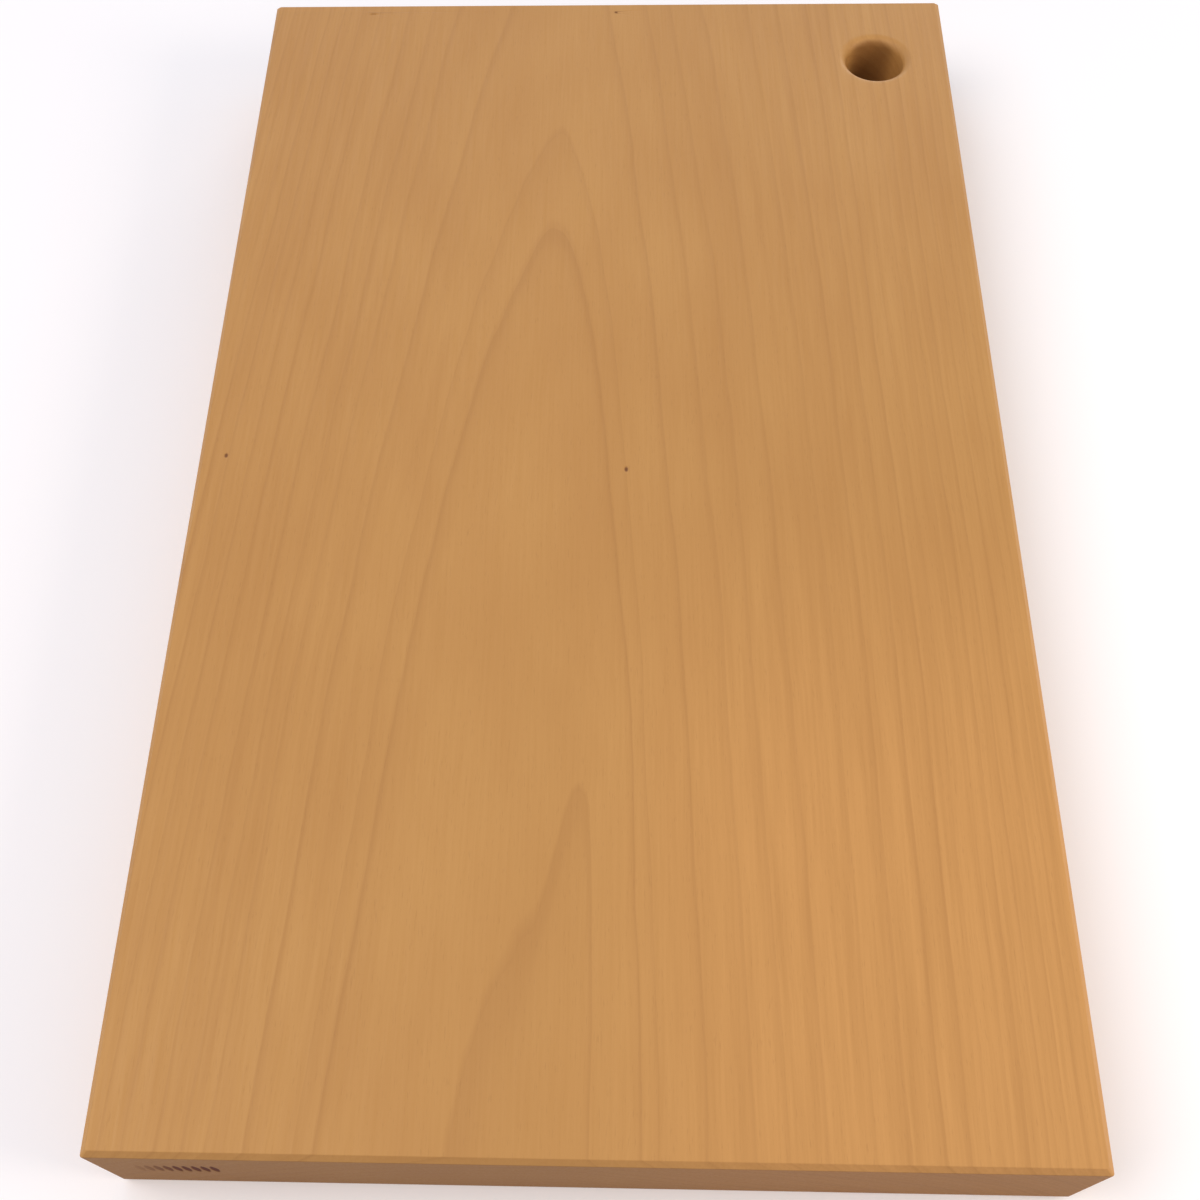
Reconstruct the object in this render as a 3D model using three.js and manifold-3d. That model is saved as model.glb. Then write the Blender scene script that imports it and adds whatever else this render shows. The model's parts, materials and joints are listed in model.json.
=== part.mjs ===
// A kitchen cutting board made from one flat-sawn plank of pale wood.
//
// The plank is planed flat on all six sides, its edges are broken with small flat chamfers, and a
// hanging hole with rounded rims is bored through one back corner. Millimetres, +Z up. The origin is
// the centre of the underside: the front end faces -Y, and the hole is in the +X, +Y corner.

import * as THREE from 'three';
import { mergeVertices } from 'three/addons/utils/BufferGeometryUtils.js';
import Module from 'manifold-3d';

// Driving dimensions of the plank.
const LENGTH = 360;
const WIDTH = 210;
const THICKNESS = 30;
const FACE_CHAMFER = 1.3; // each leg of the chamfer round the top and bottom faces
const CORNER_CHAMFER = 1; // each leg of the chamfer down the four upright edges

// Driving dimensions of the hanging hole.
const HOLE_DIAMETER = 17.5;
const HOLE_RIM_RADIUS = 2.5; // rounding where the bore meets either face
const HOLE_FROM_SIDE = 22; // hole centre to the right-hand edge
const HOLE_FROM_BACK = 27; // hole centre to the back end

// Facets of the round surfaces.
const HOLE_SEGMENTS = 72;
const RIM_SEGMENTS = 6;

const CUTTER_OVERRUN = 5; // how far the hole's cutter stands past both faces

const wasm = await Module();
wasm.setup();

// A closed geometry as a solid that can be cut.
function toSolid(geometry) {
  const bare = geometry.clone();
  bare.deleteAttribute('normal');
  bare.deleteAttribute('uv');
  const merged = mergeVertices(bare);
  return new wasm.Manifold(new wasm.Mesh({
    numProp: 3,
    vertProperties: merged.attributes.position.array,
    triVerts: merged.index.array,
  }));
}

// A cut solid as a geometry with flat facets.
function toGeometry(solid) {
  const mesh = solid.getMesh();
  const shared = new THREE.BufferGeometry();
  shared.setAttribute('position', new THREE.BufferAttribute(mesh.vertProperties, 3));
  shared.setIndex(new THREE.BufferAttribute(mesh.triVerts, 1));
  const geometry = shared.toNonIndexed();
  geometry.computeVertexNormals();
  return geometry;
}

// The plank's outline seen from above: a rectangle centred on the origin with its corners cut.
function plankOutline() {
  const side = WIDTH / 2;
  const end = LENGTH / 2;
  const cut = CORNER_CHAMFER;
  return new THREE.Shape([
    new THREE.Vector2(-side + cut, -end),
    new THREE.Vector2(side - cut, -end),
    new THREE.Vector2(side, -end + cut),
    new THREE.Vector2(side, end - cut),
    new THREE.Vector2(side - cut, end),
    new THREE.Vector2(-side + cut, end),
    new THREE.Vector2(-side, end - cut),
    new THREE.Vector2(-side, -end + cut),
  ]);
}

// The plank before boring. The extrusion's one-step bevel is the chamfer round both faces.
function plankGeometry() {
  const geometry = new THREE.ExtrudeGeometry(plankOutline(), {
    depth: THICKNESS - 2 * FACE_CHAMFER,
    steps: 1,
    bevelEnabled: true,
    bevelSegments: 1,
    bevelThickness: FACE_CHAMFER,
    bevelSize: FACE_CHAMFER,
    bevelOffset: -FACE_CHAMFER,
  });
  geometry.translate(0, 0, FACE_CHAMFER);
  return geometry;
}

// Points of the rounded rim in the (radius, height) half-plane, from the bore's wall out to a face.
function rimArc(faceHeight, inward) {
  const arc = [];
  for (let step = 0; step <= RIM_SEGMENTS; step += 1) {
    const angle = (Math.PI / 2) * (step / RIM_SEGMENTS);
    const radius = HOLE_DIAMETER / 2 + HOLE_RIM_RADIUS * (1 - Math.cos(angle));
    const height = faceHeight + inward * HOLE_RIM_RADIUS * (1 - Math.sin(angle));
    arc.push(new THREE.Vector2(radius, height));
  }
  return arc;
}

// The wood that the hole takes away: a bore that flares into a rounded rim at each face.
function holeCutter() {
  const mouth = HOLE_DIAMETER / 2 + HOLE_RIM_RADIUS;
  const profile = [
    new THREE.Vector2(0, -CUTTER_OVERRUN),
    new THREE.Vector2(mouth, -CUTTER_OVERRUN),
    ...rimArc(0, 1).reverse(),
    ...rimArc(THICKNESS, -1),
    new THREE.Vector2(mouth, THICKNESS + CUTTER_OVERRUN),
    new THREE.Vector2(0, THICKNESS + CUTTER_OVERRUN),
  ];
  const geometry = new THREE.LatheGeometry(profile, HOLE_SEGMENTS);
  geometry.rotateX(Math.PI / 2);
  geometry.translate(WIDTH / 2 - HOLE_FROM_SIDE, LENGTH / 2 - HOLE_FROM_BACK, 0);
  return geometry;
}

function makeBoard() {
  const plank = toSolid(plankGeometry());
  const bored = plank.subtract(toSolid(holeCutter()));
  const wood = new THREE.MeshStandardMaterial({
    color: 0xc6915a, // pale honey-coloured wood, sanded and unfinished
    roughness: 0.62,
    metalness: 0,
  });
  const board = new THREE.Mesh(toGeometry(bored), wood);
  board.name = 'board';
  return board;
}

const cuttingBoard = new THREE.Group();
cuttingBoard.add(makeBoard());

export default cuttingBoard;
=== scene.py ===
"""A kitchen cutting board made from one plank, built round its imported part.

The part gives the plank's size and the place of its hanging hole. This script adds the board's fine
surface, with its eased edges, pin knots and a burnt mark, the wood itself, and a plain studio.
Geometry is worked out in millimetres and put into the meshes in metres.
"""
import json
import math

import bpy
import numpy as np
from mathutils import Matrix, Vector


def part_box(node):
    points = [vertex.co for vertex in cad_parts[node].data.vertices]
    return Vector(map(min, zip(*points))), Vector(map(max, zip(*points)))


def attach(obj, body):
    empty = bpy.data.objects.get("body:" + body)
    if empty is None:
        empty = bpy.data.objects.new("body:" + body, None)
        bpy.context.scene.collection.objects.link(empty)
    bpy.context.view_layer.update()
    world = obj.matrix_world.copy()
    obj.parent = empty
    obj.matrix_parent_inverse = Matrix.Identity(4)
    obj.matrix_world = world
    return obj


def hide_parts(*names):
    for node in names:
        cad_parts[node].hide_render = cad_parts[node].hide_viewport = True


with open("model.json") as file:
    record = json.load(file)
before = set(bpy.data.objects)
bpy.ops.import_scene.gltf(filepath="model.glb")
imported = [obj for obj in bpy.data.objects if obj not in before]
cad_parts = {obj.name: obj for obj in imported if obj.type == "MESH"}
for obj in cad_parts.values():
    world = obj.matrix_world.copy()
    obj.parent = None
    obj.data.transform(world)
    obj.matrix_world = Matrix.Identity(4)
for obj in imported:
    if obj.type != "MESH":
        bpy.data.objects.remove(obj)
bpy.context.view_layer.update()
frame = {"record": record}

MM = 0.001  # in metres

# ---- Sizes taken from the part, in millimetres ----

low, high = (np.array(corner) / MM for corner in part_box("board"))
WIDTH, LENGTH, THICKNESS = high - low
HALF_WIDTH = WIDTH / 2
HALF_LENGTH = LENGTH / 2
HOLE_CENTRE = np.array(frame["record"]["physics"]["openings"][0]["box_m"]).mean(axis=0)[:2] / MM

# ---- How the plank was worked, in millimetres ----

BORE_RADIUS = 8.75
RIM_RADIUS = 2.5  # rounding where the bore meets either face
FACE_CHAMFER = 1.3  # each leg of the chamfer round both faces
CORNER_ROUND = 0.6  # upright corners, softened with a sanding block
ARRIS_ROUND = 0.3  # the sharp lines of the chamfers, eased by hand
HOLD = 0.12  # a line of points this near each eased edge keeps the flats flat

# Pin knots on the upper face: (x, y, half width, half length, depth).
PIN_KNOTS = (
    (6.8, -4.5, 0.5, 0.85, 0.3),
    (-97.7, -0.5, 0.5, 0.8, 0.2),
    (-73.5, 175.0, 0.45, 0.75, 0.15),
    (3.4, 175.2, 0.5, 0.8, 0.15),
)
KNOT_REACH = 1.7  # the finer grid round each knot stretches this far either way
KNOT_LINES = 19

# The burnt mark on the front end: a plain row of lozenges, fainter towards its left.
MARK_LEFT = -97.0
MARK_RIGHT = -79.0
MARK_HEIGHT = 17.0
MARK_COUNT = 9
MARK_HALF_HEIGHT = 3.8
MARK_DEPTH = 0.12
MARK_MARGIN = (0.5, 0.3)  # the finer grid reaches this far past the mark, sideways and up
MARK_LINES = (95, 25)  # lines of that grid along the mark and up it
LOZENGE_HALF_WIDTH = 0.42  # as a share of the step from one lozenge to the next
LOZENGE_BOW = 1.6  # 1 gives straight sides and 2 gives an oval
LOZENGE_SOFTNESS = 0.25
ABOVE_MARK = (25.0, 23.0)  # heights of the coarser lines of the side
BELOW_MARK = (12.0, 8.0, 4.0)

# The wood's growth. The pith of the tree lay under the plank: its place to the side and its depth
# under the upper face, at the front and back ends. Its depth grows as share of the length ** PITH_BEND.
PITH_SIDE = (-15.5, -7.0)
PITH_DEPTH = (109.7, 120.7)
PITH_BEND = 1.35
# A ridge in the growth runs along the plank and crowds the years together beside the pin knot.
RIDGE_START = -15.0
RIDGE_TOP = 30.0
RIDGE_END = 100.0
RIDGE_HEIGHT = (6.8, 6.1)  # at the front and back ends
# A hollow in the growth makes the inner arch at the front end.
HOLLOW_MIDDLE = (-5.0, -0.5)  # at the front end, and where it has grown straight
HOLLOW_STRAIGHT = -90.0
HOLLOW_REACH = 12.0
HOLLOW_DEPTH = 2.6
HOLLOW_FADES = (-98.0, -42.0)
# The years that cross the face, from the inner arch outwards: width, and how dark the last wood is.
# Years inside and outside these are drawn at random.
FIRST_YEAR_RADIUS = 78.0
FACE_YEARS_RADIUS = 105.9
FACE_YEARS = (
    (4.5, 0.75),
    (6.5, 1.0),
    (1.5, 0.4),
    (4.5, 0.8),
    (4.0, 0.6),
    (2.5, 0.5),
    (3.0, 0.65),
    (4.0, 0.45),
    (3.0, 0.65),
)
LAST_YEAR_RADIUS = 172.0
WIDEST_YEAR = 8.0
LAST_WOOD_REACH = 2.0  # the wood darkens over this much before a year ends
LAST_WOOD_EDGE = 0.15  # and pales again over this much


# ---- Helpers ----


def hex_colour(code):
    """Linear RGBA of an sRGB hex colour."""
    parts = [int(code[i:i + 2], 16) / 255 for i in (1, 3, 5)]
    linear = [v / 12.92 if v <= 0.04045 else ((v + 0.055) / 1.055) ** 2.4 for v in parts]
    return (*linear, 1.0)


def add_node(tree, kind, inputs=None, curve=None, ramp=None, **settings):
    """Adds a node. inputs gives sockets a value or a socket to be linked from; curve and ramp give stops."""
    node = tree.nodes.new(kind)
    for name, value in settings.items():
        setattr(node, name, value)
    for socket, value in (inputs or {}).items():
        if isinstance(value, bpy.types.NodeSocket):
            tree.links.new(value, node.inputs[socket])
        else:
            node.inputs[socket].default_value = value
    if curve:
        points = node.mapping.curves[0].points
        while len(points) < len(curve["points"]):
            points.new(0.5, 0.5)
        for point, place in zip(points, curve["points"]):
            point.location = place
            point.handle_type = curve["handles"]
        node.mapping.update()
    if ramp:
        elements = node.color_ramp.elements
        while len(elements) < len(ramp):
            elements.new(0.5)
        for element, (place, colour) in zip(elements, ramp):
            element.position = place
            element.color = colour
    return node


def unit(vector):
    return vector / np.linalg.norm(vector)


# ---- The board's surface ----


def eased_corner(before, corner, after, radius, steps=5):
    """An arc of that radius in place of a corner, with a holding point just outside each end of it.

    The arc touches each leg at radius / tan(half the opening) from the corner, and its points are
    swept evenly round the arc's centre from one leg to the other.
    """
    first_leg = unit(before - corner)
    second_leg = unit(after - corner)
    half_opening = math.acos(np.clip(first_leg @ second_leg, -1, 1)) / 2
    reach = radius / math.tan(half_opening)
    centre = corner + unit(first_leg + second_leg) * radius / math.sin(half_opening)
    start = corner + first_leg * reach - centre
    end = corner + second_leg * reach - centre
    sweep = math.pi - 2 * half_opening
    t = np.linspace(0, 1, steps + 1)[:, None]
    arc = centre + (np.sin((1 - t) * sweep) * start + np.sin(t * sweep) * end) / math.sin(sweep)
    return np.vstack([arc[0] + first_leg * HOLD, arc, arc[-1] + second_leg * HOLD])


def edge_profile():
    """(inset, height) of the section from the upper face, down the side, to the underside."""
    corners = np.array([
        (3 * FACE_CHAMFER, THICKNESS),
        (FACE_CHAMFER, THICKNESS),
        (0, THICKNESS - FACE_CHAMFER),
        (0, FACE_CHAMFER),
        (FACE_CHAMFER, 0),
        (3 * FACE_CHAMFER, 0),
    ])
    eased = [eased_corner(*corners[i - 1:i + 2], ARRIS_ROUND) for i in range(1, 5)]
    mark_reach = MARK_HALF_HEIGHT + MARK_MARGIN[1]
    mark_rows = np.linspace(MARK_HEIGHT + mark_reach, MARK_HEIGHT - mark_reach, MARK_LINES[1])
    side_heights = np.concatenate([ABOVE_MARK, mark_rows, BELOW_MARK])
    side = np.column_stack([np.zeros_like(side_heights), side_heights])
    return np.vstack([*eased[:2], side, *eased[2:]])


def rim_arc(steps=10):
    """(radius, depth) of the rounded rim, from the upper end of the bore's wall out to the face."""
    turn = np.linspace(0, np.pi / 2, steps + 1)
    return np.column_stack([
        BORE_RADIUS + RIM_RADIUS * (1 - np.cos(turn)),
        RIM_RADIUS * (1 - np.sin(turn)),
    ])


def knot_rays():
    """Directions from the hole's centre to a fine row of points across each pin knot."""
    across = np.linspace(-KNOT_REACH, KNOT_REACH, KNOT_LINES)
    rays = []
    for x, y, *_ in PIN_KNOTS:
        to_knot = np.array((x, y)) - HOLE_CENTRE
        sideways = unit(np.array((-to_knot[1], to_knot[0])))
        targets = to_knot + across[:, None] * sideways
        rays.append(np.arctan2(targets[:, 1], targets[:, 0]))
    return np.concatenate(rays)


def plank_outline(ray_step=math.radians(1.6), corner_steps=8):
    """Points round the plank seen from above, anticlockwise from the front end, and the way out at each.

    Along a straight side the points lie where rays leave the hole's centre at even angles, at
    foot of the perpendicular + distance * tan(angle). A corner is a quarter circle. The way out leans
    along the side by the point's share of half its length, so a loop set in has the same corners.
    """
    points, outward = [], []
    for quarter in range(4):
        facing = (quarter - 1) * math.pi / 2
        out = np.array((round(math.cos(facing)), round(math.sin(facing))))
        along = np.array((-out[1], out[0]))
        half = np.array((HALF_WIDTH, HALF_LENGTH))
        to_side = half @ abs(out)
        reach = half @ abs(along) - CORNER_ROUND
        distance = to_side - HOLE_CENTRE @ out
        foot = HOLE_CENTRE @ along
        first, last = np.arctan((np.array((-reach, reach)) - foot) / distance)
        even = np.linspace(first, last, math.ceil((last - first) / ray_step) + 1)
        knots = (knot_rays() - facing + math.pi) % (2 * math.pi) - math.pi
        knots = knots[(knots > first) & (knots < last)]
        stations = foot + distance * np.tan(np.concatenate([even, knots]))
        stations = np.append(stations, (-reach + HOLD, reach - HOLD))
        if quarter == 0:
            mark_ends = (MARK_LEFT - MARK_MARGIN[0], MARK_RIGHT + MARK_MARGIN[0])
            stations = np.append(stations, np.linspace(*mark_ends, MARK_LINES[0]))
        stations = np.unique(stations.round(3))
        points.append(out * to_side + along * stations[:, None])
        outward.append(out + along * stations[:, None] / reach)
        turn = np.linspace(0, math.pi / 2, corner_steps + 1)[1:-1, None]
        arc = np.cos(turn) * out + np.sin(turn) * along
        points.append(out * (to_side - CORNER_ROUND) + along * reach + CORNER_ROUND * arc)
        outward.append(np.tile(out + along, (len(arc), 1)))
    return np.vstack(points), np.vstack(outward)


def knot_shares(mouth, edge):
    """Shares of the way from the hole's mouth to the plank's edge at which fine lines cross each knot."""
    along = np.linspace(-KNOT_REACH, KNOT_REACH, KNOT_LINES)
    edge_directions = np.arctan2(*(edge - HOLE_CENTRE).T[::-1])
    shares = []
    for x, y, *_ in PIN_KNOTS:
        to_knot = np.array((x, y)) - HOLE_CENTRE
        turned = edge_directions - math.atan2(to_knot[1], to_knot[0])
        nearest = np.argmin(abs(np.angle(np.exp(1j * turned))))
        full = np.linalg.norm(edge[nearest] - HOLE_CENTRE) - mouth
        shares.append((np.linalg.norm(to_knot) + along - mouth) / full)
    return np.concatenate(shares)


def lozenge_row(x, z):
    """How deeply each point of the front end is burnt: a row of lozenges, fainter towards the left.

    A lozenge with bowed sides is where (|across| / half width) ** bow + (|up| / half height) ** bow
    stays under one, and it is burnt fully but for a soft border.
    """
    share = np.clip((x - MARK_LEFT) / (MARK_RIGHT - MARK_LEFT), 0, 0.9999)
    place = share * MARK_COUNT
    across = abs(place % 1 - 0.5) / LOZENGE_HALF_WIDTH
    up = abs(z - MARK_HEIGHT) / MARK_HALF_HEIGHT
    inside = np.clip((1 - across ** LOZENGE_BOW - up ** LOZENGE_BOW) / LOZENGE_SOFTNESS, 0, 1)
    inside = inside * (x > MARK_LEFT) * (x < MARK_RIGHT)
    fading = np.clip(0.15 + 1.7 * share, 0, 1)
    return inside * fading


def make_board():
    """The plank as one closed sheet, like a tyre: round the plank one way, round its section the other.

    Each line of the sheet is a loop round the plank. From the middle of the bore the loops climb its
    wall, roll over the rim, spread over the upper face in shares of the way from the hole's mouth to
    the edge, follow the edge profile inset along the outline's own outward direction, and come back
    along the underside. Each pin knot is a bell-shaped dip, depth * exp(-(dx/w)^2 - (dy/l)^2).
    """
    outline, outward = plank_outline()
    profile = edge_profile()
    directions = outline - HOLE_CENTRE
    directions = directions / np.linalg.norm(directions, axis=1, keepdims=True)

    def bore_loop(radius, height):
        plan = HOLE_CENTRE + radius * directions
        return np.column_stack([plan, np.full(len(plan), height)])

    def edge_loop(inset, height):
        plan = outline - inset * outward
        return np.column_stack([plan, np.full(len(plan), height)])

    rim = rim_arc()
    mouth = rim[-1, 0]
    climb = np.linspace(THICKNESS / 2, THICKNESS - RIM_RADIUS, 9)[:-1]
    upper_wall = [bore_loop(BORE_RADIUS, height) for height in climb]
    upper_rim = [bore_loop(radius, THICKNESS - depth) for radius, depth in rim]
    even_shares = np.concatenate([[0.004, 0.02, 0.05], np.linspace(0.1, 0.9, 9), [0.97]])
    shares = np.concatenate([even_shares, knot_shares(mouth, outline - profile[0, 0] * outward)])
    shares = np.unique(shares.round(4))
    upper_edge = edge_loop(*profile[0])
    upper_face = [upper_rim[-1] + share * (upper_edge - upper_rim[-1]) for share in shares]
    edge = [edge_loop(inset, height) for inset, height in profile]
    lower_rim = [bore_loop(radius, depth) for radius, depth in rim[::-1]]
    underside = [edge[-1] + (1 - share) * (lower_rim[0] - edge[-1]) for share in even_shares[::-1]]
    climb_back = np.linspace(RIM_RADIUS, THICKNESS / 2, 9)[1:-1]
    lower_wall = [bore_loop(BORE_RADIUS, height) for height in climb_back]
    sheet = np.stack(upper_wall + upper_rim + upper_face + edge + underside + lower_rim + lower_wall)

    x, y, z = sheet[..., 0], sheet[..., 1], sheet[..., 2].copy()
    on_upper_face = z > THICKNESS - 0.01
    knot_shade = np.zeros_like(x)
    for knot_x, knot_y, half_width, half_length, depth in PIN_KNOTS:
        bell = np.exp(-((x - knot_x) / half_width) ** 2 - ((y - knot_y) / half_length) ** 2) * on_upper_face
        sheet[..., 2] -= depth * bell
        knot_shade = np.maximum(knot_shade, bell)
    on_front_end = y < low[1] + 0.001
    burn = lozenge_row(x, z) * on_front_end
    sheet[..., 1] += MARK_DEPTH * burn

    loops, columns = x.shape
    index = np.arange(loops * columns).reshape(loops, columns)
    up = np.roll(index, -1, axis=0)
    quads = np.stack([index, up, np.roll(up, -1, axis=1), np.roll(index, -1, axis=1)], axis=-1)
    board = mesh_object("cutting_board", sheet.reshape(-1, 3), quads.reshape(-1, 4))
    for name, values in (("pin_knot", knot_shade), ("burn", burn)):
        attribute = board.data.attributes.new(name, "FLOAT", "POINT")
        attribute.data.foreach_set("value", values.reshape(-1).astype(np.float32))
    return board


def mesh_object(name, points_mm, quads):
    """A smooth mesh object in metres from points in millimetres and their quads."""
    mesh = bpy.data.meshes.new(name)
    mesh.from_pydata((points_mm * MM).tolist(), [], quads.tolist())
    mesh.polygons.foreach_set("use_smooth", np.ones(len(quads), bool))
    mesh.update()
    piece = bpy.data.objects.new(name, mesh)
    bpy.context.scene.collection.objects.link(piece)
    return piece


# ---- The wood ----


def year_boundaries():
    """Radius in mm at which each year ends, and how dark its last wood is, from the pith outwards."""
    chance = np.random.default_rng(7)
    inner = []
    radius = FACE_YEARS_RADIUS
    while radius > FIRST_YEAR_RADIUS + 1:
        inner.append((radius, chance.uniform(0.4, 1.0)))
        radius -= chance.uniform(2.8, 4.4)
    years = inner[::-1]
    radius = FACE_YEARS_RADIUS
    for width, darkness in FACE_YEARS:
        radius += width
        years.append((radius, darkness))
    while radius < LAST_YEAR_RADIUS - 3:
        radius += chance.uniform(1.7, 3.2)
        years.append((radius, chance.uniform(0.35, 0.8)))
    return np.array(years)


def planed_hardwood():
    """Birch-like hardwood, planed and sanded, without finish.

    A pale honey brown with a soft low sheen. The pores are too fine to see one by one, so what shows
    is each year's thin dark last wood: long lines where the face cuts the years steeply, and tall
    arches with broad soft flanks along the middle, where it cuts them flat. End grain is darker, duller
    and freckled with pores; part of its darkness is painted shade on the ends.
    """
    material = bpy.data.materials.new("planed_hardwood")
    material.use_nodes = True
    tree = material.node_tree
    tree.nodes.clear()

    place = add_node(tree, "ShaderNodeTexCoord")
    mm = add_node(tree, "ShaderNodeMapping", {0: place.outputs["Object"], "Scale": (1 / MM,) * 3}).outputs[0]

    # The grain wanders about 1 mm to each side, over 45 mm across and 160 mm along the plank.
    wander_scale = add_node(
        tree, "ShaderNodeMapping", {0: mm, "Scale": (1 / 45, 1 / 160, 1 / 45)}
    ).outputs[0]
    wander = add_node(
        tree, "ShaderNodeTexNoise", {"Vector": wander_scale, "Scale": 1.0, "Detail": 4.0, "Roughness": 0.55}
    )
    wander_offset = add_node(
        tree, "ShaderNodeVectorMath", {0: wander.outputs["Color"], 1: (0.5, 0.5, 0.5)}, operation="SUBTRACT"
    ).outputs[0]
    wandering = add_node(
        tree, "ShaderNodeVectorMath", {0: wander_offset, 1: (4.5, 0.0, 2.0), 2: mm}, operation="MULTIPLY_ADD"
    ).outputs[0]
    wood = add_node(tree, "ShaderNodeSeparateXYZ", {0: wandering})

    # Distance from the pith, in millimetres.
    along = add_node(
        tree, "ShaderNodeMapRange", {0: wood.outputs["Y"], 1: low[1], 2: high[1]}
    ).outputs[0]
    bending = add_node(tree, "ShaderNodeMath", {0: along, 1: PITH_BEND}, operation="POWER").outputs[0]
    pith_height = add_node(tree, "ShaderNodeMapRange", {
        0: bending, 3: THICKNESS - PITH_DEPTH[0], 4: THICKNESS - PITH_DEPTH[1]
    }).outputs[0]
    pith_side = add_node(
        tree, "ShaderNodeMapRange", {0: along, 3: PITH_SIDE[0], 4: PITH_SIDE[1]}
    ).outputs[0]
    above_pith = add_node(
        tree, "ShaderNodeMath", {0: wood.outputs["Z"], 1: pith_height}, operation="SUBTRACT"
    ).outputs[0]
    beside_pith = add_node(
        tree, "ShaderNodeMath", {0: wood.outputs["X"], 1: pith_side}, operation="SUBTRACT"
    ).outputs[0]
    from_pith = add_node(tree, "ShaderNodeCombineXYZ", {0: beside_pith, 1: above_pith}).outputs[0]
    even_radius = add_node(
        tree, "ShaderNodeVectorMath", {0: from_pith}, operation="LENGTH"
    ).outputs["Value"]

    # The ridge swells the years outwards, and the hollow lets them sink.
    ridge_rise = add_node(
        tree, "ShaderNodeMapRange", {0: wood.outputs["X"], 1: RIDGE_START, 2: RIDGE_TOP},
        interpolation_type="SMOOTHSTEP",
    ).outputs[0]
    ridge_fall = add_node(
        tree, "ShaderNodeMapRange", {0: wood.outputs["X"], 1: RIDGE_TOP, 2: RIDGE_END, 3: 1.0, 4: 0.0},
        interpolation_type="SMOOTHSTEP",
    ).outputs[0]
    ridge_height = add_node(
        tree, "ShaderNodeMapRange", {0: along, 3: RIDGE_HEIGHT[0], 4: RIDGE_HEIGHT[1]}
    ).outputs[0]
    ridge_shape = add_node(
        tree, "ShaderNodeMath", {0: ridge_rise, 1: ridge_fall}, operation="MULTIPLY"
    ).outputs[0]
    ridged_radius = add_node(
        tree, "ShaderNodeMath", {0: ridge_shape, 1: ridge_height, 2: even_radius}, operation="MULTIPLY_ADD"
    ).outputs[0]
    hollow_middle = add_node(tree, "ShaderNodeMapRange", {
        0: wood.outputs["Y"], 1: low[1], 2: HOLLOW_STRAIGHT, 3: HOLLOW_MIDDLE[0], 4: HOLLOW_MIDDLE[1]
    }).outputs[0]
    hollow_offset = add_node(
        tree, "ShaderNodeMath", {0: wood.outputs["X"], 1: hollow_middle}, operation="SUBTRACT"
    ).outputs[0]
    hollow_away = add_node(tree, "ShaderNodeMath", {0: hollow_offset}, operation="ABSOLUTE").outputs[0]
    hollow_shape = add_node(
        tree, "ShaderNodeMapRange", {0: hollow_away, 1: 0.0, 2: HOLLOW_REACH, 3: 1.0, 4: 0.0},
        interpolation_type="SMOOTHSTEP",
    ).outputs[0]
    hollow_depth = add_node(
        tree, "ShaderNodeMapRange",
        {0: wood.outputs["Y"], 1: HOLLOW_FADES[0], 2: HOLLOW_FADES[1], 3: -HOLLOW_DEPTH, 4: 0.0},
        interpolation_type="SMOOTHSTEP",
    ).outputs[0]
    radius = add_node(
        tree, "ShaderNodeMath", {0: hollow_shape, 1: hollow_depth, 2: ridged_radius}, operation="MULTIPLY_ADD"
    ).outputs[0]
    bearing = add_node(
        tree, "ShaderNodeMath", {0: beside_pith, 1: above_pith}, operation="ARCTAN2"
    ).outputs[0]

    # Which year the wood is from, how far through that year it grew, and that year's width and darkness.
    years = year_boundaries()
    count = len(years)
    radius_share = add_node(
        tree, "ShaderNodeMapRange", {0: radius, 1: FIRST_YEAR_RADIUS, 2: LAST_YEAR_RADIUS}
    ).outputs[0]
    span = LAST_YEAR_RADIUS - FIRST_YEAR_RADIUS
    year_points = [
        ((end - FIRST_YEAR_RADIUS) / span, (number + 1) / (count + 1))
        for number, (end, _) in enumerate(years)
    ]
    year_share = add_node(tree, "ShaderNodeFloatCurve", {"Value": radius_share}, curve={
        "points": [(0, 0), *year_points, (1, 1)],
        "handles": "VECTOR",
    }).outputs[0]
    year = add_node(
        tree, "ShaderNodeMath", {0: year_share, 1: count + 1.0}, operation="MULTIPLY"
    ).outputs[0]
    season = add_node(tree, "ShaderNodeMath", {0: year}, operation="FRACT").outputs[0]
    whole_year = add_node(tree, "ShaderNodeMath", {0: year}, operation="FLOOR").outputs[0]
    year_middle = add_node(
        tree, "ShaderNodeMapRange", {0: whole_year, 1: 0.0, 2: float(count)}
    ).outputs[0]
    year_darkness = add_node(tree, "ShaderNodeFloatCurve", {"Value": year_middle}, curve={
        "points": [(number / count, darkness) for number, (_, darkness) in enumerate(years)],
        "handles": "VECTOR",
    }).outputs[0]
    widths = np.diff(years[:, 0], prepend=FIRST_YEAR_RADIUS)
    year_width = add_node(tree, "ShaderNodeFloatCurve", {"Value": year_middle}, curve={
        "points": [(number / count, width / WIDEST_YEAR) for number, width in enumerate(widths)],
        "handles": "VECTOR",
    }).outputs[0]
    year_mm = add_node(
        tree, "ShaderNodeMath", {0: year_width, 1: WIDEST_YEAR}, operation="MULTIPLY"
    ).outputs[0]
    since_start = add_node(
        tree, "ShaderNodeMath", {0: season, 1: year_mm}, operation="MULTIPLY"
    ).outputs[0]
    before_end = add_node(
        tree, "ShaderNodeMath", {0: year_mm, 1: since_start}, operation="SUBTRACT"
    ).outputs[0]
    closeness = add_node(
        tree, "ShaderNodeMapRange", {0: before_end, 1: LAST_WOOD_REACH, 2: 0.0}
    ).outputs[0]
    darkening = add_node(tree, "ShaderNodeFloatCurve", {"Value": closeness}, curve={
        "points": [(0, 0), (0.5, 0.06), (0.78, 0.35), (0.93, 0.9), (1, 1)],
        "handles": "AUTO_CLAMPED",
    }).outputs[0]
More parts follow.
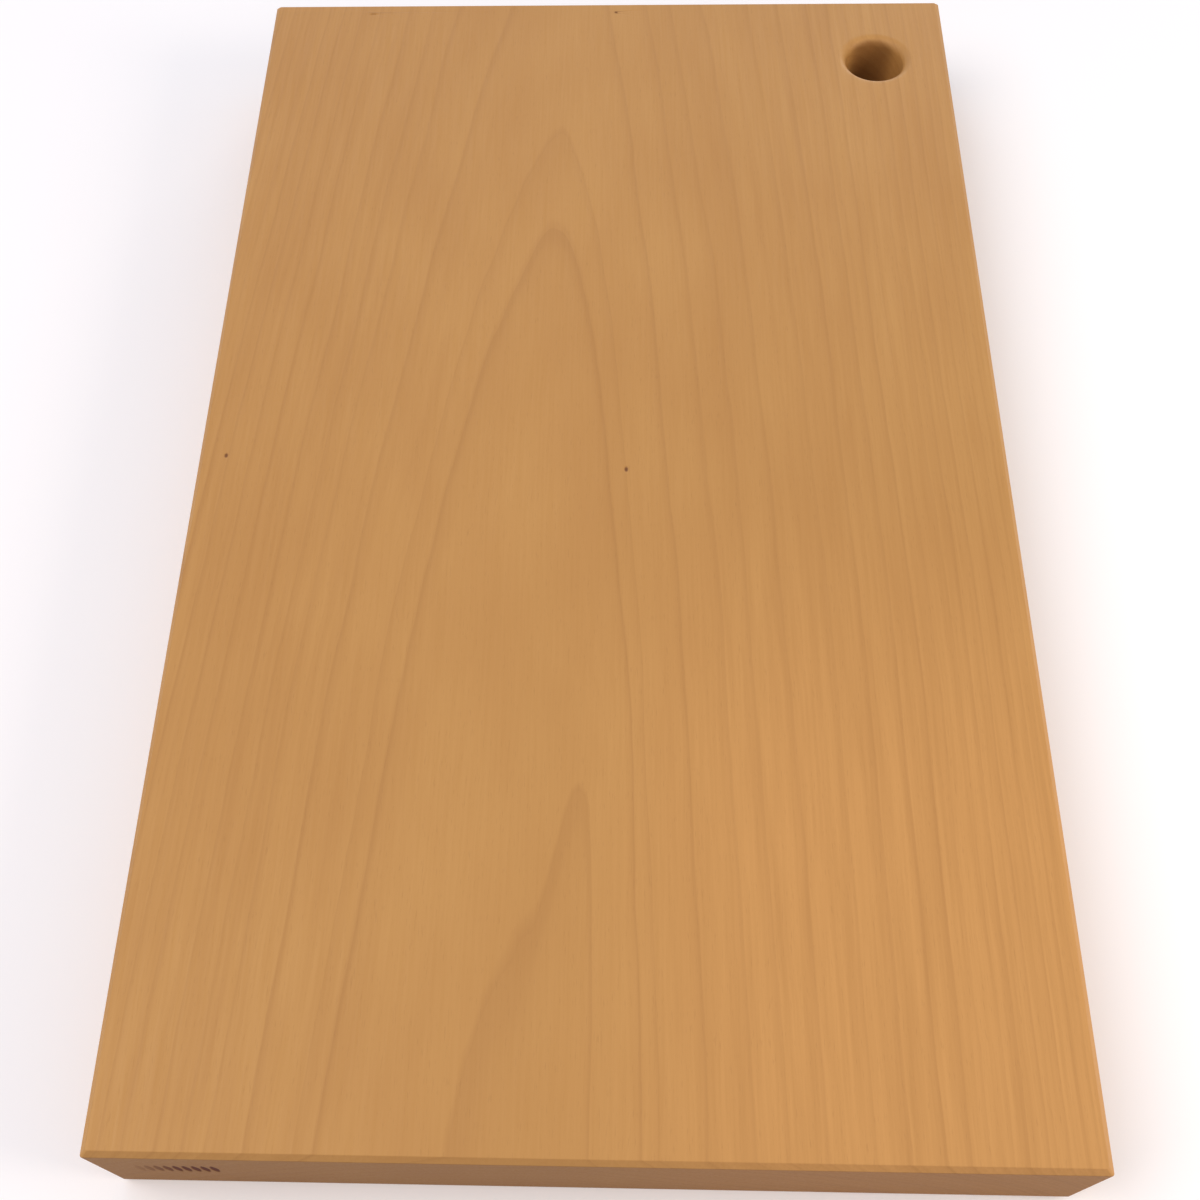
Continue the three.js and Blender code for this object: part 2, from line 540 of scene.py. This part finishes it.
    paling = add_node(
        tree, "ShaderNodeMapRange", {0: since_start, 1: 0.0, 2: LAST_WOOD_EDGE, 3: 1.0, 4: 0.0}
    ).outputs[0]
    last_wood = add_node(
        tree, "ShaderNodeMath", {0: darkening, 1: paling}, operation="MAXIMUM"
    ).outputs[0]
    line = add_node(
        tree, "ShaderNodeMath", {0: last_wood, 1: year_darkness}, operation="MULTIPLY"
    ).outputs[0]

    # Fine growth lines inside each year, 0.9 mm apart, that fade in and out along the grain.
    fine_place = add_node(
        tree, "ShaderNodeCombineXYZ", {0: radius, 1: wood.outputs["Y"], 2: bearing}
    ).outputs[0]
    fine_scale = add_node(
        tree, "ShaderNodeMapping", {0: fine_place, "Scale": (1 / 0.9, 1 / 70, 2.0)}
    ).outputs[0]
    fine_lines = add_node(
        tree, "ShaderNodeTexNoise", {"Vector": fine_scale, "Scale": 1.0, "Detail": 2.0, "Roughness": 0.6}
    ).outputs[0]

    # Fibre streaks, 0.7 mm wide and 25 mm long.
    fibre_scale = add_node(
        tree, "ShaderNodeMapping", {0: wandering, "Scale": (1 / 0.7, 1 / 25, 1 / 0.7)}
    ).outputs[0]
    fibres = add_node(
        tree, "ShaderNodeTexNoise", {"Vector": fibre_scale, "Scale": 1.0, "Detail": 3.0, "Roughness": 0.55}
    ).outputs[0]

    # Broad clouds of paler and darker wood, 22 mm across and 60 mm long.
    cloud_scale = add_node(
        tree, "ShaderNodeMapping", {0: wandering, "Scale": (1 / 22, 1 / 60, 1 / 22)}
    ).outputs[0]
    clouds = add_node(
        tree, "ShaderNodeTexNoise", {"Vector": cloud_scale, "Scale": 1.0, "Detail": 2.0}
    ).outputs[0]

    # Pores: real ones are 0.08 mm wide; they are drawn 0.25 mm wide and 3 mm long so that they show.
    pore_scale = add_node(
        tree, "ShaderNodeMapping", {0: wandering, "Scale": (1 / 0.25, 1 / 3.0, 1 / 0.25)}
    ).outputs[0]
    pores = add_node(
        tree, "ShaderNodeTexNoise", {"Vector": pore_scale, "Scale": 1.0, "Detail": 1.0}
    ).outputs[0]
    pore_mask = add_node(tree, "ShaderNodeMapRange", {0: pores, 1: 0.62, 2: 0.78}).outputs[0]

    # Colour of the sawn face.
    cloud_colour = add_node(tree, "ShaderNodeValToRGB", {0: clouds}, ramp=(
        (0.3, hex_colour("#b98748")),
        (0.7, hex_colour("#bf8e4e")),
    )).outputs[0]
    # Painted light: the colour pales by a shade towards the right front corner, painting the sheen and
    # brighter light that fall there.
    painted_light_across = add_node(
        tree, "ShaderNodeMapRange", {0: wood.outputs["X"], 1: -15.0, 2: 50.0}, interpolation_type="SMOOTHSTEP"
    ).outputs[0]
    painted_light_along = add_node(
        tree, "ShaderNodeMapRange", {0: wood.outputs["Y"], 1: 0.0, 2: -110.0}, interpolation_type="SMOOTHSTEP"
    ).outputs[0]
    painted_light_share = add_node(
        tree, "ShaderNodeMath", {0: painted_light_across, 1: painted_light_along}, operation="MULTIPLY"
    ).outputs[0]
    # The paler colour mixed in here is painted light and sheen, not a tone of the wood.
    ground_colour = add_node(tree, "ShaderNodeMix", {
        0: painted_light_share,
        6: cloud_colour,
        7: hex_colour("#c99352"),
    }, data_type="RGBA").outputs[2]
    fibre_factor = add_node(
        tree, "ShaderNodeMapRange", {0: fibres, 1: 0.3, 2: 0.7, 3: 0.0, 4: 0.24}
    ).outputs[0]
    with_fibres = add_node(tree, "ShaderNodeMix", {
        0: fibre_factor,
        6: ground_colour,
        7: hex_colour("#b07e3f"),
    }, data_type="RGBA").outputs[2]
    distance_beside = add_node(tree, "ShaderNodeMath", {0: beside_pith}, operation="ABSOLUTE").outputs[0]
    fine_strength = add_node(
        tree, "ShaderNodeMapRange", {0: distance_beside, 1: 15.0, 2: 60.0, 3: 0.08, 4: 0.34}
    ).outputs[0]
    fine_factor = add_node(
        tree, "ShaderNodeMapRange", {0: fine_lines, 1: 0.4, 2: 0.75, 3: 0.0, 4: fine_strength}
    ).outputs[0]
    with_fine_lines = add_node(tree, "ShaderNodeMix", {
        0: fine_factor,
        6: with_fibres,
        7: hex_colour("#aa773b"),
    }, data_type="RGBA").outputs[2]
    line_factor = add_node(tree, "ShaderNodeMath", {0: line, 1: 0.3}, operation="MULTIPLY").outputs[0]
    with_lines = add_node(tree, "ShaderNodeMix", {
        0: line_factor,
        6: with_fine_lines,
        7: hex_colour("#9a6832"),
    }, data_type="RGBA").outputs[2]
    pore_factor = add_node(tree, "ShaderNodeMath", {0: pore_mask, 1: 0.15}, operation="MULTIPLY").outputs[0]
    side_grain = add_node(tree, "ShaderNodeMix", {
        0: pore_factor,
        6: with_lines,
        7: hex_colour("#835727"),
    }, data_type="RGBA").outputs[2]

    # End grain: where the surface faces along the fibres. Its darker tint is partly the end grain's own
    # colour and partly painted shade on the ends.
    facing = add_node(tree, "ShaderNodeSeparateXYZ", {0: place.outputs["Normal"]}).outputs["Y"]
    facing_along = add_node(tree, "ShaderNodeMath", {0: facing}, operation="ABSOLUTE").outputs[0]
    end_grain = add_node(
        tree, "ShaderNodeMapRange", {0: facing_along, 1: 0.55, 2: 0.95}, interpolation_type="SMOOTHSTEP"
    ).outputs[0]
    # Painted shade: this tint darkens the ends beyond end grain's own colour, standing in for the shade the
    # ends are in.
    end_grain_and_shade_tint = add_node(tree, "ShaderNodeMix", {
        0: 1.0,
        6: side_grain,
        7: hex_colour("#cabfae"),
    }, data_type="RGBA", blend_type="MULTIPLY").outputs[2]
    surface_colour = add_node(tree, "ShaderNodeMix", {
        0: end_grain,
        6: side_grain,
        7: end_grain_and_shade_tint,
    }, data_type="RGBA").outputs[2]

    # Pin knots and the burnt mark.
    knot = add_node(tree, "ShaderNodeAttribute", attribute_name="pin_knot").outputs["Fac"]
    knot_factor = add_node(
        tree, "ShaderNodeMapRange", {0: knot, 1: 0.15, 2: 0.8, 4: 0.9}, interpolation_type="SMOOTHSTEP"
    ).outputs[0]
    with_knots = add_node(tree, "ShaderNodeMix", {
        0: knot_factor,
        6: surface_colour,
        7: hex_colour("#6b3d14"),
    }, data_type="RGBA").outputs[2]
    burn = add_node(tree, "ShaderNodeAttribute", attribute_name="burn").outputs["Fac"]
    colour = add_node(tree, "ShaderNodeMix", {
        0: burn,
        6: with_knots,
        7: hex_colour("#58230d"),
    }, data_type="RGBA").outputs[2]

    # Sheen and relief.
    roughness = add_node(
        tree, "ShaderNodeMapRange", {0: fibres, 1: 0.3, 2: 0.7, 3: 0.5, 4: 0.62}
    ).outputs[0]
    dull_end = add_node(
        tree, "ShaderNodeMapRange", {0: end_grain, 3: 0.0, 4: 0.18}
    ).outputs[0]
    duller = add_node(tree, "ShaderNodeMath", {0: roughness, 1: dull_end}, operation="ADD").outputs[0]
    total_roughness = add_node(
        tree, "ShaderNodeMath", {0: burn, 1: 0.3, 2: duller}, operation="MULTIPLY_ADD", use_clamp=True
    ).outputs[0]
    relief = add_node(
        tree, "ShaderNodeMath", {0: pore_mask, 1: -0.6, 2: fibres}, operation="MULTIPLY_ADD"
    ).outputs[0]
    bump = add_node(
        tree, "ShaderNodeBump", {"Strength": 0.5, "Distance": 0.03 * MM, "Height": relief}
    ).outputs[0]
    shader = add_node(tree, "ShaderNodeBsdfPrincipled", {
        "Base Color": colour,
        "Roughness": total_roughness,
        "IOR": 1.45,
        "Normal": bump,
    })
    add_node(tree, "ShaderNodeOutputMaterial", {0: shader.outputs[0]})
    return material


# ---- The studio ----

FLOOR_HALF = 10000.0
BACKDROP = "#f6f6f6"


def make_floor():
    """A flat white floor that reaches past everything a view can see."""
    corners = np.array([(-1, -1, 0), (1, -1, 0), (1, 1, 0), (-1, 1, 0)]) * FLOOR_HALF
    floor = mesh_object("studio_floor", corners, np.array([(0, 1, 2, 3)]))
    material = bpy.data.materials.new("white_paper")
    material.use_nodes = True
    shader = material.node_tree.nodes["Principled BSDF"]
    shader.inputs["Base Color"].default_value = hex_colour("#fbfbfb")
    shader.inputs["Roughness"].default_value = 0.9
    shader.inputs["Specular IOR Level"].default_value = 0.1
    floor.data.materials.append(material)
    return floor


def make_world(strength):
    """Even pale light from all round; the camera sees it as bright as the floor."""
    world = bpy.data.worlds.new("studio")
    world.use_nodes = True
    bpy.context.scene.world = world
    tree = world.node_tree
    tree.nodes.clear()
    seen = add_node(tree, "ShaderNodeLightPath").outputs["Is Camera Ray"]
    light = add_node(tree, "ShaderNodeBackground", {0: hex_colour("#f2f5ff"), 1: strength})
    backdrop = add_node(tree, "ShaderNodeBackground", {0: hex_colour(BACKDROP), 1: 1.0})
    mixed = add_node(
        tree, "ShaderNodeMixShader", {0: seen, 1: light.outputs[0], 2: backdrop.outputs[0]}
    )
    add_node(tree, "ShaderNodeOutputWorld", {0: mixed.outputs[0]})


def make_softbox(name, position, size, power, colour):
    """A square area light at a place in metres, facing the middle of the board."""
    light = bpy.data.lights.new(name, "AREA")
    light.shape = "SQUARE"
    light.size = size
    light.energy = power
    light.color = hex_colour(colour)[:3]
    softbox = bpy.data.objects.new(name, light)
    softbox.location = position
    softbox.rotation_euler = (-Vector(position)).to_track_quat("-Z", "Y").to_euler()
    bpy.context.scene.collection.objects.link(softbox)


def make_camera():
    """Looks down on the board from above its front end, leaning over slightly to one side."""
    position = Vector((1.1, -225.0, 304.0)) * MM
    aim = Vector((-7.3, -96.7, THICKNESS)) * MM
    roll = math.radians(-2.8)
    data = bpy.data.cameras.new("camera")
    data.lens = 39.7
    data.sensor_width = 36.0
    data.shift_x = 0.03
    data.shift_y = 0.16
    data.clip_start = 0.01
    data.clip_end = 100.0
    camera = bpy.data.objects.new("camera", data)
    forward = (aim - position).normalized()
    level = forward.cross(Vector((0, 0, 1))).normalized()
    rise = level.cross(forward)
    right = level * math.cos(roll) + rise * math.sin(roll)
    up = rise * math.cos(roll) - level * math.sin(roll)
    camera.matrix_world = Matrix.Translation(position) @ Matrix((right, up, -forward)).transposed().to_4x4()
    bpy.context.scene.collection.objects.link(camera)
    bpy.context.scene.camera = camera


make_camera()
make_world(0.595)
make_softbox("key_softbox", (0.70, -0.21, 0.38), 0.35, 2.9, "#fff1e2")
make_softbox("left_softbox", (-0.6, -0.2, 0.9), 0.7, 5.4, "#fff2ec")
make_softbox("back_softbox", (-0.45, 1.15, 0.75), 0.9, 2.1, "#e2eaff")
make_softbox("low_softbox", (0.35, 1.05, 0.2), 0.4, 2.0, "#fff8f0")
bpy.context.scene.view_settings.view_transform = "Standard"

floor = make_floor()

board = make_board()
board.data.materials.append(planed_hardwood())
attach(board, "root")
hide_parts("board")
